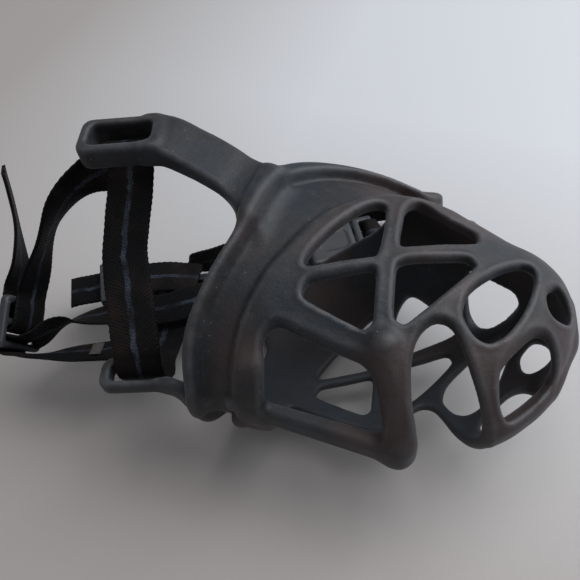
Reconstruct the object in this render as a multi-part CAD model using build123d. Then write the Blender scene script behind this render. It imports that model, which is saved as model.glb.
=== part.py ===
from build123d import *
import os

# Basket muzzle for a small dog, lying on its left side.
# Frame: +X to the nose, +Y to the bridge of the nose, +Z to the dog's right side.
# Origin: on the mid-plane, midway between the crosses of the two side lattices.
# All lengths are in millimetres.

OUT = "parts"

# ---- snout form ----
# Each station: distance along the nose axis, top, bottom, half width.
SNOUT_STATIONS = [
    (-56, 48.5, -44.5, 36.5),
    (-40, 48.0, -44.0, 35.5),
    (-20, 47.5, -43.0, 34.3),
    (0, 45.5, -42.0, 31.8),
    (16, 41.0, -39.5, 28.8),
    (29, 36.0, -35.0, 25.5),
    (39, 33.5, -28.0, 21.8),
    (47, 28.5, -18.0, 16.5),
    (52, 21.5, -8.0, 10.5),
    (55, 15.0, 1.0, 5.0),
]
NOSE_REACH = 55.0
WALL = 3.8
PANEL_STEP = 1.4
BEAD_RISE = 2.6

# ---- side-view lines of the collar, ventral end first ----
RIM_LINE = [
    (-44.5, -62),
    (-45.0, -46),
    (-46.0, -36),
    (-44.0, -23),
    (-41.5, -8),
    (-42.5, 6),
    (-42.0, 20),
    (-35.0, 32),
    (-23.0, 40),
    (-9.0, 45),
    (2.0, 50),
    (6.0, 66),
]
STEP_LINE = [
    (-39.5, -62),
    (-40.0, -46),
    (-41.0, -34),
    (-39.0, -20),
    (-36.5, -6),
    (-36.5, 7),
    (-34.5, 17),
    (-28.0, 27),
    (-18.0, 35),
    (-6.0, 40.5),
    (6.5, 45),
    (12.0, 66),
]
RIDGE_LINE = [
    (-30.0, -62),
    (-30.5, -46),
    (-31.5, -32),
    (-29.0, -17),
    (-25.0, -6),
    (-21.0, 5),
    (-16.0, 14),
    (-8.0, 24.5),
    (2.0, 31.5),
    (13.0, 35),
    (20.0, 42),
    (24.0, 66),
]
FAR_AHEAD = 90.0
SIDE_REACH = 80.0

# ---- openings of the lattice, seen from the side ----
CROSS_UPPER_REAR = [(-19.5, -10.5), (-18, -3.5), (-10, 16), (-7, 19.5), (-4.5, 18.5), (-2, -1), (-10.5, -6)]
CROSS_LOWER_REAR = [(-17.5, -18.5), (-17, -14), (-9.5, -9.5), (-1, -5), (2.5, -20), (1, -22), (-8.5, -20.5)]
CROSS_UPPER_FRONT = [(3, 4.5), (0, 22), (1.5, 27.5), (4.5, 29), (20.5, 23.5), (22, 18), (12.5, 10)]
CROSS_LOWER_FRONT = [(5, -9), (3.5, -1.5), (13.5, 5), (21, 9.5), (23, 5), (16.5, -7), (10, -17.5), (7, -16.5)]
NOSE_SIDE = [
    (23, -8),
    (23.5, -2),
    (27.5, 6),
    (34, 15),
    (37.5, 17.5),
    (39.5, 14),
    (39, 5),
    (37, -4),
    (32.5, -13),
    (27, -13.5),
]
NOSE_LOWER = [
    (35, -19),
    (36.5, -15),
    (41.5, -5.5),
    (45.5, -2.5),
    (49, -6),
    (49, -11.5),
    (45, -19),
    (41, -25),
    (37.5, -25),
]
NOSE_FRONT = [(43, 9), (44, 13), (46, 15.5), (49, 13.5), (51, 9), (50, 5), (46, 3)]
CHEEK_WINDOW = [
    (-22, -62),
    (-23, -39),
    (-24.5, -30.5),
    (-21.5, -26),
    (6, -28.5),
    (11.5, -32),
    (13, -37),
    (13, -62),
]
CHIN_WINDOW = [
    (19.5, -62),
    (19, -37.5),
    (14.5, -28),
    (14, -19),
    (17, -13),
    (21.5, -12.5),
    (29, -21.5),
    (36.5, -29.5),
    (38, -34),
    (38, -62),
]

# ---- keel and its bump under the jaw ----
KEEL_WIDTH = 8.0
KEEL_DEPTH = 5.0
KEEL_REAR = -30.0
KEEL_FRONT = 18.0
KEEL_TOP_Y = -37.5
KEEL_ROUNDING = 1.5
KEEL_BUMP_RADIUS = 4.5
KEEL_BUMP_X = 15.5
KEEL_BUMP_Y = -39.0

# ---- cheek arms ----
ARM_THICK = 8.0
LOOP_CENTRE = (-85.5, 11.0)
LOOP_TURN = 21.0
LOOP_LENGTH = 26.0
LOOP_HEIGHT = 15.5
SLOT_LENGTH = 18.5
SLOT_HEIGHT = 8.5
LOOP_OUT = 43.0
TABLE_SIDE_LOOP_OUT = 35.5
ARM_ROOT = (-39.0, 8.5, 34.0)
ARM_MIDDLE = (-57.0, 13.0, 37.0)
ARM_ROOT_HEIGHT = 22.0
ARM_MIDDLE_HEIGHT = 15.0

# ---- chin loop ----
CHIN_LOOP_CENTRE = (-63.3, -41.0)
CHIN_LOOP_LENGTH = 25.0
CHIN_LOOP_HEIGHT = 10.5
CHIN_LOOP_THICK = 5.5
CHIN_SLOT_LENGTH = 17.5
CHIN_SLOT_HEIGHT = 5.0
CHIN_NECK_LENGTH = 14.0
CHIN_NECK_TURN = -18.0

# ---- webbing ----
WEB_WIDTH = 15.0
WEB_THICK = 1.3
TWIST_STEP = 18.0
BAR_RADIUS = 1.2
WRAP_RADIUS = 2.15
THROAT_RIGHT_OUT = 34.8
THROAT_LEFT_OUT = 29.6

# ---- tri-glide where the neck strap is adjusted ----
GLIDE_BAR = 2.6
GLIDE_PITCH = 7.8
GLIDE_WIDTH = 21.0
GLIDE_THICK = 3.2
GLIDE_WRAP = 3.0
GLIDE_CENTRE = (-121.0, -33.0, -10.0)
GLIDE_BAR_DIRECTION = (0.0, 0.453, -0.892)
GLIDE_UP_DIRECTION = (-0.24, 0.87, 0.44)

# ---- keeper on the left strap ----
KEEPER_LENGTH = 6.0
KEEPER_WALL = 2.0
KEEPER_GAP = 0.5
KEEPER_CENTRE = (-110.0, 0.0, -24.0)
KEEPER_HEADING = (-0.83, -0.557, 0.03)

# ---- buckle ----
BUCKLE_WIDTH = 22.0
BUCKLE_THICK = 8.0
SOCKET_LENGTH = 20.0
SOCKET_WALL = 1.6
SOCKET_WINDOW_LENGTH = 6.0
SOCKET_WINDOW_REACH = 3.0
PLUG_BASE_LENGTH = 9.0
PRONG_LENGTH = 11.0
PRONG_WIDTH = 3.4
TONGUE_WIDTH = 4.0
BUCKLE_SLOT = 3.6
BUCKLE_BAR = 2.4
BUCKLE_CLEARANCE = 0.3
BUCKLE_CENTRE = (-35.5, 51.4, -33.0)
BUCKLE_TURN = 32.0

# ---- stitching ----
TACK_LENGTH = 9.0
TACK_WIDTH = 4.0
TACK_RISE = 0.35

ACROSS = Vector(0, 0, 1)


def save(name, shape):
    """Write one sub-part as its own STEP file."""
    solids = [s for s in shape.solids() if s.volume > 0]
    if len(solids) == 1:
        export_step(solids[0], os.path.join(OUT, name + ".step"))
    else:
        export_step(Compound(solids), os.path.join(OUT, name + ".step"))


# ---- snout basket ----


def snout_form(offset):
    """Closed form of the snout, grown or shrunk evenly by offset."""
    sections = []
    for x, top, bottom, half_width in SNOUT_STATIONS:
        middle = (top + bottom) / 2
        tall = (top - bottom) / 2 + offset
        wide = half_width + offset
        place = Plane(
            origin=(x * (1 + offset / NOSE_REACH), middle, 0),
            x_dir=(0, 0, 1),
            z_dir=(1, 0, 0),
        )
        sections.append(place * Ellipse(max(wide, 1.0), tall))
    return loft(sections)


def side_region(line, toward):
    """Block on one side of a collar line, reaching past both cheeks."""
    curve = Spline([(x, y, -SIDE_REACH) for x, y in line])
    first = line[0]
    last = line[-1]
    back = Polyline(
        (last[0], last[1], -SIDE_REACH),
        (toward, last[1], -SIDE_REACH),
        (toward, first[1], -SIDE_REACH),
        (first[0], first[1], -SIDE_REACH),
    )
    face = make_face(Wire([curve] + list(back.edges())))
    return extrude(face, amount=2 * SIDE_REACH, dir=(0, 0, 1))


def side_window(corners, rounding=1.5):
    """Block that cuts one lattice opening in both cheeks."""
    outline = make_face(Polyline([(x, y, 0) for x, y in corners], close=True))
    outline = fillet(outline.vertices(), rounding)
    return extrude(outline, amount=SIDE_REACH, dir=(0, 0, 1), both=True)


def basket_shell():
    """Moulded shell: collar bead, recessed panel and pierced lattice."""
    inner = snout_form(-WALL)
    ahead_of_rim = side_region(RIM_LINE, FAR_AHEAD)
    ahead_of_step = side_region(STEP_LINE, FAR_AHEAD)
    ahead_of_ridge = side_region(RIDGE_LINE, FAR_AHEAD)
    bead = (snout_form(BEAD_RISE) & ahead_of_rim) - ahead_of_step
    panel = snout_form(-PANEL_STEP) & ahead_of_rim
    lattice = snout_form(0) & ahead_of_ridge
    for outline, rounding in (
        (CROSS_UPPER_REAR, 1.0),
        (CROSS_LOWER_REAR, 1.0),
        (CROSS_UPPER_FRONT, 1.2),
        (CROSS_LOWER_FRONT, 1.2),
        (NOSE_SIDE, 2.0),
        (NOSE_LOWER, 1.5),
        (NOSE_FRONT, 1.0),
        (CHEEK_WINDOW, 2.0),
        (CHIN_WINDOW, 2.0),
    ):
        window = side_window(outline, rounding)
        lattice = lattice - window
        panel = panel - window
    return (bead + panel + lattice) - inner


def keel():
    """Bar under the jaw with the rounded bump where the jaw ribs meet."""
    middle = (KEEL_REAR + KEEL_FRONT) / 2
    bar = Box(KEEL_FRONT - KEEL_REAR, KEEL_DEPTH, KEEL_WIDTH)
    bar = fillet(bar.edges().filter_by(Axis.X), KEEL_ROUNDING)
    bar = Pos(middle, KEEL_TOP_Y - KEEL_DEPTH / 2, 0) * bar
    bump = Pos(KEEL_BUMP_X, KEEL_BUMP_Y, 0) * Sphere(KEEL_BUMP_RADIUS)
    return bar + bump


def slotted_loop(length, height, slot_length, slot_height, thick, corner):
    """Flat strap loop with a long slot, lying in the XY plane."""
    outline = RectangleRounded(length, height, corner)
    slot = RectangleRounded(slot_length, slot_height, 1.0)
    return extrude(outline - slot, amount=thick / 2, both=True)


def cheek_point(along, up, out):
    """Point in the row frame from a cheek loop's own slot axes and its Z."""
    flat = Vector(along, up, 0).rotate(Axis.Z, LOOP_TURN)
    return Vector(LOOP_CENTRE[0] + flat.X, LOOP_CENTRE[1] + flat.Y, out)


def cheek_arm(side, loop_out):
    """Soft arm from the collar corner to the strap loop of one cheek."""
    loop = slotted_loop(LOOP_LENGTH, LOOP_HEIGHT, SLOT_LENGTH, SLOT_HEIGHT, ARM_THICK, 3.5)
    loop = Pos(LOOP_CENTRE[0], LOOP_CENTRE[1], side * loop_out) * Rot(0, 0, LOOP_TURN) * loop
    along = Vector(1, 0, 0).rotate(Axis.Z, LOOP_TURN)
    bar_centre = cheek_point(0, 0, side * cheek_bar_height(loop_out))
    bar_place = Plane(origin=bar_centre, x_dir=ACROSS, z_dir=along)
    bar = bar_place * Cylinder(BAR_RADIUS, SLOT_LENGTH + 2.0)
    inner_end = cheek_point(LOOP_LENGTH / 2 - 2.0, 0, side * loop_out)
    root = Vector(ARM_ROOT[0], ARM_ROOT[1], side * min(ARM_ROOT[2], loop_out))
    middle = Vector(ARM_MIDDLE[0], ARM_MIDDLE[1], side * min(ARM_MIDDLE[2], loop_out))
    stations = [
        (inner_end, along, LOOP_HEIGHT - 1.0, ARM_THICK - 0.6),
        (middle, Vector(1, 0, 0), ARM_MIDDLE_HEIGHT, ARM_THICK - 1.0),
        (root, Vector(1, 0, 0), ARM_ROOT_HEIGHT, 5.0),
    ]
    sections = []
    for centre, heading, height, thick in stations:
        place = Plane(origin=centre, x_dir=ACROSS, z_dir=heading)
        sections.append(place * RectangleRounded(thick, height, 1.5))
    return loop + bar + loft(sections)


def cheek_bar_height(loop_out):
    """Distance of a cheek loop's inner cross-bar from the mid-plane."""
    return loop_out - ARM_THICK / 2 + BAR_RADIUS


def chin_point(along, up, out):
    """Point in the row frame from the chin loop's own slot axes and its Z."""
    flat = Vector(along, up, 0).rotate(Axis.Z, LOOP_TURN)
    return Vector(CHIN_LOOP_CENTRE[0] + flat.X, CHIN_LOOP_CENTRE[1] + flat.Y, out)


def chin_loop():
    """Strap loop under the throat, with the neck that joins it to the collar."""
    loop = slotted_loop(
        CHIN_LOOP_LENGTH,
        CHIN_LOOP_HEIGHT,
        CHIN_SLOT_LENGTH,
        CHIN_SLOT_HEIGHT,
        CHIN_LOOP_THICK,
        3.0,
    )
    loop = Pos(CHIN_LOOP_CENTRE[0], CHIN_LOOP_CENTRE[1], 0) * Rot(0, 0, LOOP_TURN) * loop
    neck_start = chin_point(CHIN_LOOP_LENGTH / 2 - 2.5, -0.5, 0)
    neck = Box(CHIN_NECK_LENGTH, CHIN_LOOP_HEIGHT - 2.0, CHIN_LOOP_THICK - 0.5)
    neck = Pos(CHIN_NECK_LENGTH / 2, 0, 0) * neck
    neck = Pos(neck_start.X, neck_start.Y, 0) * Rot(0, 0, CHIN_NECK_TURN) * neck
    return loop + neck


def basket():
    """The whole soft moulding: shell, keel, cheek arms and chin loop."""
    arms = cheek_arm(1, LOOP_OUT) + cheek_arm(-1, TABLE_SIDE_LOOP_OUT)
    added = (arms + keel() + chin_loop()) - snout_form(-WALL)
    return basket_shell() + added


# ---- webbing ----


def eased(stations):
    """Stations with more added wherever the webbing twists quickly."""
    places = [(Vector(*centre), Vector(*side).normalized()) for centre, side in stations]
    dense = [places[0]]
    for (start, side), (end, next_side) in zip(places, places[1:]):
        steps = int(side.get_angle(next_side) // TWIST_STEP) + 1
        for i in range(1, steps + 1):
            share = i / steps
            dense.append((start + (end - start) * share, side + (next_side - side) * share))
    return dense


def ribbon(stations, width=WEB_WIDTH, thick=WEB_THICK):
    """Webbing through stations of (centre, width direction)."""
    places = eased(stations)
    sections = []
    for i, (centre, side) in enumerate(places):
        before = places[max(i - 1, 0)][0]
        after = places[min(i + 1, len(places) - 1)][0]
        heading = (after - before).normalized()
        across = (side - heading * side.dot(heading)).normalized()
        sections.append(Plane(origin=centre, x_dir=across, z_dir=heading) * Rectangle(width, thick))
    return loft(sections, ruled=True)


def wrap_round(centre, outward, onward, radius, turns):
    """Points round a bar: angle 0 lies outward, 90 lies onward."""
    points = []
    for angle in turns:
        swing = outward.rotate(Axis((0, 0, 0), outward.cross(onward)), angle)
        points.append(centre + swing * radius)
    return points


def throat_strap():
    """Webbing from the right cheek loop through the chin loop to the left one."""
    slot_axis = Vector(1, 0, 0).rotate(Axis.Z, LOOP_TURN)
    legs = []
    for side, loop_out in ((1, LOOP_OUT), (-1, TABLE_SIDE_LOOP_OUT)):
        bar_out = cheek_bar_height(loop_out)
        bar = cheek_point(0, 0, side * bar_out)
        up = cheek_point(0, 1, side * bar_out) - bar
        leg = [(cheek_point(0, WRAP_RADIUS, side * (bar_out - 3.0)), slot_axis)]
        for point in wrap_round(bar, up, Vector(0, 0, side), WRAP_RADIUS, (0, 45, 90, 135, 180)):
            leg.append((point, slot_axis))
        leg.append((cheek_point(0.1, -2.4, side * (bar_out - 2.0)), slot_axis))
        legs.append(leg)
    right_leg, left_leg = legs
    right_leg += [
        (cheek_point(0.8, -4.6, THROAT_RIGHT_OUT), slot_axis),
        (Vector(-79.5, -11.0, 21.5), Vector(1, 0.3, 0)),
        (Vector(-71.5, -26.0, 14.2), Vector(1, 0.35, 0)),
    ]
    left_leg += [
        (cheek_point(0.6, -5.0, -THROAT_LEFT_OUT), slot_axis),
        (Vector(-82.0, -2.5, -28.3), Vector(1, 0.3, 0)),
        (Vector(-77.0, -15.0, -23.5), Vector(1, 0.2, 0)),
        (Vector(-69.0, -30.5, -12.8), Vector(1, 0.3, 0)),
    ]
    through = []
    for out, up in ((8.5, 4.2), (5.5, 1.9), (2.6, 0.3), (0, -0.5), (-2.6, 0.3), (-5.5, 1.9), (-8.5, 4.5)):
        through.append((chin_point(0, up, out), slot_axis))
    return ribbon(right_leg + through + left_leg[::-1])


def glide_point(out, up):
    """Point in the row frame from the tri-glide's own axes."""
    bars, rise, face = glide_axes()
    return Vector(*GLIDE_CENTRE) + face * out + rise * up


def glide_axes():
    """Directions of the tri-glide: along its bars, across them, out of its face."""
    bars = Vector(*GLIDE_BAR_DIRECTION).normalized()
    rise = Vector(*GLIDE_UP_DIRECTION)
    rise = (rise - bars * rise.dot(bars)).normalized()
    return bars, rise, bars.cross(rise)


def tri_glide():
    """Flat plastic frame with three bars and two slots."""
    bars, _, face = glide_axes()
    tall = 2 * GLIDE_PITCH + GLIDE_BAR
    frame = RectangleRounded(GLIDE_WIDTH, tall, 2.0)
    slot_height = GLIDE_PITCH - GLIDE_BAR
    slot_width = GLIDE_WIDTH - 2 * GLIDE_BAR
    for up in (-GLIDE_PITCH / 2, GLIDE_PITCH / 2):
        frame = frame - Pos(0, up, 0) * RectangleRounded(slot_width, slot_height, 0.6)
    body = extrude(frame, amount=GLIDE_THICK / 2, both=True)
    return Plane(origin=Vector(*GLIDE_CENTRE), x_dir=bars, z_dir=face) * body


def neck_strap_right():
    """Webbing from the right cheek loop down to the tri-glide's middle bar."""
    bars, rise, face = glide_axes()
    slot_axis = Vector(1, 0, 0).rotate(Axis.Z, LOOP_TURN)
    stations = [
        (Vector(-89.0, 17.0, 33.4), slot_axis),
        (Vector(-94.0, 9.0, 32.6), Vector(0.86, 0.42, -0.2)),
        (Vector(-103.5, 0.0, 28.5), Vector(0.55, 0.4, -0.73)),
        (Vector(-112.5, -7.0, 17.5), Vector(0.35, 0.4, -0.85)),
        (Vector(-117.5, -15.5, 5.5), Vector(0.15, 0.45, -0.88)),
        (glide_point(GLIDE_WRAP, 11.5), bars),
        (glide_point(GLIDE_WRAP, 4.0), bars),
    ]
    bar = glide_point(0, 0)
    for point in wrap_round(bar, face, rise * -1, GLIDE_WRAP, (0, 45, 90, 135, 180)):
        stations.append((point, bars))
    stations.append((glide_point(-GLIDE_WRAP, 8.0), bars))
    return ribbon(stations)


def neck_strap_tail():
    """Free end of the right neck strap, standing up from the tri-glide."""
    bars, _, _ = glide_axes()
    stations = [
        (glide_point(-GLIDE_WRAP, 8.5), bars),
        (glide_point(-GLIDE_WRAP - 0.3, 14.0), bars),
        (Vector(-128.2, -14.0, 4.0), bars),
        (Vector(-130.8, -5.5, 14.5), Vector(-0.1, 0.47, -0.88)),
        (Vector(-133.0, 1.5, 28.5), Vector(-0.2, 0.5, -0.84)),
    ]
    return ribbon(stations)


def neck_strap_back():
    """Webbing from the tri-glide over the left cheek arm to the buckle socket."""
    bars, rise, face = glide_axes()
    bar = glide_point(0, -GLIDE_PITCH)
    stations = []
    for point in wrap_round(bar, face * -1, rise, GLIDE_WRAP, (0, 45, 90)):
        stations.append((point, bars))
    stations += [
        (glide_point(5.4, GLIDE_WRAP - GLIDE_PITCH), bars),
        (Vector(-110.5, -24.0, -17.0), Vector(-0.05, 0.7, -0.7)),
        (Vector(-101.0, -15.0, -20.0), Vector(-0.2, 0.9, -0.45)),
        (Vector(-90.0, -8.8, -21.5), Vector(-0.3, 0.95, -0.15)),
        (Vector(-78.0, -1.5, -22.5), Vector(-0.5, 0.86, 0)),
        (Vector(-64.0, 13.5, -24.5), Vector(-0.72, 0.69, 0)),
        (Vector(-54.0, 31.0, -27.0), Vector(-0.72, 0.69, 0)),
        (buckle_point(-18.0, 0, 2.2), buckle_across()),
        (buckle_point(-10.5, 0, 2.2), buckle_across()),
    ]
    return ribbon(stations)


def throat_link_strap():
    """Short webbing from the tri-glide's lower bar to the throat strap."""
    bars, rise, face = glide_axes()
    bar = glide_point(0, -GLIDE_PITCH)
    first = wrap_round(bar, face * -1, rise * -1, GLIDE_WRAP, (20, 50, 90))
    stations = [(point, bars) for point in first]
    stations += [
        (glide_point(4.5, -GLIDE_WRAP - GLIDE_PITCH), bars),
        (Vector(-107.5, -40.0, -13.0), Vector(-0.05, 0.6, -0.75)),
        (Vector(-97.0, -34.5, -14.5), Vector(-0.15, 0.8, -0.6)),
        (Vector(-87.0, -29.0, -16.0), Vector(-0.3, 0.8, -0.5)),
        (Vector(-81.5, -26.0, -17.0), Vector(-0.35, 0.8, -0.45)),
    ]
    return ribbon(stations)


def left_strap():
    """Webbing from the left cheek loop through the keeper to the back strap."""
    heading = Vector(*KEEPER_HEADING).normalized()
    centre = Vector(*KEEPER_CENTRE)
    flat = heading.cross(ACROSS)
    stations = [
        (Vector(-79.0, 15.5, -26.8), Vector(-0.3, 0.95, 0)),
        (Vector(-91.0, 11.8, -25.5), Vector(-0.35, 0.93, 0)),
        (centre - heading * 9.0, flat),
        (centre + heading * 9.0, flat),
        (Vector(-120.0, -10.5, -24.2), Vector(-0.85, 0.5, 0)),
        (Vector(-121.0, -20.5, -24.6), Vector(-1, 0.1, 0)),
    ]
    return ribbon(stations)


def keeper():
    """Plastic loop that slides along the left strap."""
    heading = Vector(*KEEPER_HEADING).normalized()
    inner_width = WEB_WIDTH + 2 * KEEPER_GAP
    inner_height = WEB_THICK + 2 * KEEPER_GAP
    outer = RectangleRounded(inner_width + 2 * KEEPER_WALL, inner_height + 2 * KEEPER_WALL, 1.2)
    frame = outer - Rectangle(inner_width, inner_height)
    body = extrude(frame, amount=KEEPER_LENGTH / 2, both=True)
    place = Plane(origin=Vector(*KEEPER_CENTRE), x_dir=heading.cross(ACROSS), z_dir=heading)
    return place * body


# ---- buckle ----


def buckle_point(along, across, rise):
    """Point in the row frame from the buckle's own axes."""
    flat = Vector(along, across, 0).rotate(Axis.Z, BUCKLE_TURN)
    centre = Vector(*BUCKLE_CENTRE)
    return Vector(centre.X + flat.X, centre.Y + flat.Y, centre.Z + rise)


def buckle_across():
    """Width direction of the buckle and its webbing."""
    return Vector(0, 1, 0).rotate(Axis.Z, BUCKLE_TURN)


def buckle_place():
    """Frame of the buckle: X along its pull, Z up."""
    return Pos(*BUCKLE_CENTRE) * Rot(0, 0, BUCKLE_TURN)


def slide_box(x_low, x_high, width, thick):
    """Box between two places along the buckle's pull."""
    return Pos((x_low + x_high) / 2, 0, 0) * Box(x_high - x_low, width, thick)


def buckle_socket():
    """Hollow half of the side-release buckle, windows in its sides."""
    half = SOCKET_LENGTH / 2
    body = slide_box(-half, half, BUCKLE_WIDTH, BUCKLE_THICK)
    body = fillet(body.edges().filter_by(Axis.X), 2.0)
    cavity_width = BUCKLE_WIDTH - 2 * SOCKET_WALL
    cavity_thick = BUCKLE_THICK - 2 * SOCKET_WALL
    cavity_rear = half - PRONG_LENGTH - 1.0
    body = body - slide_box(cavity_rear, half + 1.0, cavity_width, cavity_thick)
    window_rear = cavity_rear + 1.0
    window_front = window_rear + SOCKET_WINDOW_LENGTH
    window = slide_box(window_rear, window_front, BUCKLE_WIDTH + 2, cavity_thick + 1.2)
    keep = slide_box(-half, half, BUCKLE_WIDTH - 2 * SOCKET_WINDOW_REACH, BUCKLE_THICK + 2)
    return buckle_place() * (body - (window - keep))


def buckle_plug():
    """Pronged half of the buckle, with a bar for its webbing."""
    half = SOCKET_LENGTH / 2
    base_near = half + BUCKLE_CLEARANCE
    base_far = base_near + PLUG_BASE_LENGTH
    base = slide_box(base_near, base_far, BUCKLE_WIDTH, BUCKLE_THICK - 1.0)
    base = fillet(base.edges().filter_by(Axis.Z), 1.5)
    slot_far = base_far - BUCKLE_BAR
    base = base - slide_box(slot_far - BUCKLE_SLOT, slot_far, WEB_WIDTH + 1.0, BUCKLE_THICK + 2)
    inner_width = BUCKLE_WIDTH - 2 * SOCKET_WALL - 2 * BUCKLE_CLEARANCE
    thick = BUCKLE_THICK - 2 * SOCKET_WALL - 2 * BUCKLE_CLEARANCE
    fork = slide_box(base_near - PRONG_LENGTH, base_near + 1.0, inner_width, thick)
    gap_width = (inner_width - 2 * PRONG_WIDTH - TONGUE_WIDTH) / 2
    gap = slide_box(base_near - PRONG_LENGTH - 1, base_near - 1.0, gap_width, thick + 1)
    gap_shift = (TONGUE_WIDTH + gap_width) / 2
    fork = fork - Pos(0, gap_shift, 0) * gap - Pos(0, -gap_shift, 0) * gap
    return buckle_place() * (base + fork)


def plug_webbing():
    """Sewn end of webbing held by the plug's bar."""
    half = SOCKET_LENGTH / 2
    bar_at = half + BUCKLE_CLEARANCE + PLUG_BASE_LENGTH - BUCKLE_BAR - BUCKLE_SLOT / 2
    far = half + BUCKLE_CLEARANCE + PLUG_BASE_LENGTH
    lift = BUCKLE_THICK / 2 - 0.5 + WEB_THICK / 2 + 0.2
    across = buckle_across()
    stations = [
        (buckle_point(bar_at, 0, -2.5), across),
        (buckle_point(bar_at, 0, 2.0), across),
        (buckle_point(bar_at + 0.9, 0, lift), across),
        (buckle_point(far - 0.2, 0, lift), across),
        (buckle_point(far + 1.3, 0, 3.4), across),
        (buckle_point(far + 2.2, 0, 0.8), across),
        (buckle_point(far + 4.2, 0, -2.9), across),
    ]
    return ribbon(stations)


def neck_strap_left():
    """Webbing from the buckle plug round to the left cheek loop."""
    across = buckle_across()
    start = SOCKET_LENGTH / 2 + BUCKLE_CLEARANCE + PLUG_BASE_LENGTH + 2.0
    slot_axis = Vector(1, 0, 0).rotate(Axis.Z, LOOP_TURN)
    stations = [
        (buckle_point(start, 0, -5.6), across),
        (buckle_point(start + 15.0, 0, -5.5), across),
        (buckle_point(start + 19.0, 0, -2.8), across + ACROSS * 0.45),
        (buckle_point(start + 22.5, 0.4, 0.0), across * 0.7 + ACROSS * 0.7),
        (buckle_point(start + 25.3, 1.8, 1.2), across * 0.2 + ACROSS),
        (buckle_point(start + 27.2, 4.6, 1.4), ACROSS),
        (buckle_point(start + 27.4, 9.0, 1.6), ACROSS),
        (buckle_point(start + 24.0, 13.0, 1.6), ACROSS),
        (buckle_point(8.0, 15.5, 1.6), ACROSS),
        (buckle_point(-9.0, 14.2, 1.6), ACROSS),
        (Vector(-58.0, 55.5, -31.2), ACROSS),
        (Vector(-70.0, 46.0, -31.2), ACROSS),
        (Vector(-80.0, 36.5, -31.2), ACROSS + slot_axis * 0.1),
        (Vector(-86.5, 29.5, -31.2), ACROSS * 0.85 + slot_axis * 0.5),
        (cheek_point(0.8, 13.0, -31.2), ACROSS * 0.3 + slot_axis * 0.95),
        (cheek_point(0.5, 9.9, -31.0), slot_axis),
        (cheek_point(0.2, 7.8, -30.2), slot_axis),
        (cheek_point(0.0, 4.2, -29.9), slot_axis),
    ]
    return ribbon(stations)


def bar_tacks():
    """Blocks of close stitching where the static straps are sewn."""
    places = [
        ((-92.0, -31.75, -15.25), (10.0, 5.5, -1.5), (-0.2, 0.8, -0.55)),
        ((-59.0, 22.25, -25.75), (10.0, 17.5, -2.5), (-0.72, 0.69, 0)),
    ]
    shape = None
    for centre, heading, side in places:
        heading = Vector(*heading).normalized()
        across = Vector(*side)
        across = (across - heading * across.dot(heading)).normalized()
        normal = across.cross(heading)
        if normal.Z < 0:
            normal = normal * -1
        origin = Vector(*centre) + normal * (WEB_THICK / 2 + TACK_RISE / 2 + 0.25)
        block = Plane(origin=origin, x_dir=across, z_dir=normal) * Box(TACK_LENGTH, TACK_WIDTH, TACK_RISE)
        shape = block if shape is None else shape + block
    return shape


if __name__ == "__main__":
    os.makedirs(OUT, exist_ok=True)
    save("basket", basket())
    save("throat_strap", throat_strap())
    save("neck_strap_right", neck_strap_right())
    save("neck_strap_tail", neck_strap_tail())
    save("tri_glide", tri_glide())
    save("neck_strap_back", neck_strap_back())
    save("throat_link_strap", throat_link_strap())
    save("left_strap", left_strap())
    save("strap_keeper", keeper())
    save("buckle_socket", buckle_socket())
    save("buckle_plug", buckle_plug())
    save("plug_webbing", plug_webbing())
    save("neck_strap_left", neck_strap_left())
    save("bar_tacks", bar_tacks())
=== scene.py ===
import math

import bpy
import numpy as np
from mathutils import Matrix, Vector


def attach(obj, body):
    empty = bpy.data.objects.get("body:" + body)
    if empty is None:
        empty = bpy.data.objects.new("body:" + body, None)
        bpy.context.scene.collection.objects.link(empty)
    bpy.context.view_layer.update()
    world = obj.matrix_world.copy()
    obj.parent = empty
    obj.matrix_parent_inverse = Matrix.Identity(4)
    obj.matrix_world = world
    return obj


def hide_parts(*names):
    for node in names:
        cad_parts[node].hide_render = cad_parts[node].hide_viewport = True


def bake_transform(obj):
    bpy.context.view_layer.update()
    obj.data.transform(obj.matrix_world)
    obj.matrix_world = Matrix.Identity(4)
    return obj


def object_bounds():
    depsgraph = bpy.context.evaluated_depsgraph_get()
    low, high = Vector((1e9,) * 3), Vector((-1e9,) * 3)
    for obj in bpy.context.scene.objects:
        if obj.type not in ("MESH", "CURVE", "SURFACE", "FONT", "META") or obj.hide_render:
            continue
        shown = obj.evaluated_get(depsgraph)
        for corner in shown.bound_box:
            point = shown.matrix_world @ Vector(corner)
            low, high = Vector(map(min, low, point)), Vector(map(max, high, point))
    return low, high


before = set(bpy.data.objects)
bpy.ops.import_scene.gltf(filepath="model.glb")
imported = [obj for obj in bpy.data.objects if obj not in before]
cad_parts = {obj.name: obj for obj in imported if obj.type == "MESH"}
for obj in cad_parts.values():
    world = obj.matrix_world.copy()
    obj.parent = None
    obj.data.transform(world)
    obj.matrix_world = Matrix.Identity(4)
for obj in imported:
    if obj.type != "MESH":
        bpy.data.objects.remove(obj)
CAD_LOW, CAD_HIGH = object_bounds()

# Looks of the basket muzzle. Shapes are in millimetres in the row frame, and make_object scales
# them to metres; floor, lights and camera are in metres. The nose points along x, the brow lies at
# high y, and the right cheek, the near one, at high z.
MM = 0.001

# ---- basket field

# Sections of the outside of the snout: place along x, top, underside and half width.
STATIONS = np.array([
    (-56, 48.5, -44.5, 36.5), (-40, 48, -44, 35.5), (-20, 47.5, -43, 34.3), (0, 45.5, -42, 31.8),
    (16, 41, -39.5, 28.8), (29, 36, -35, 25.5), (39, 33.5, -28, 21.8), (47, 28.5, -18, 16.5),
    (52, 21.5, -8, 10.5), (55, 15, 1, 5), (57, 11, 5, 2),
], float)
NOSE_END = 55.2
WALL = 3.8
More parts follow.
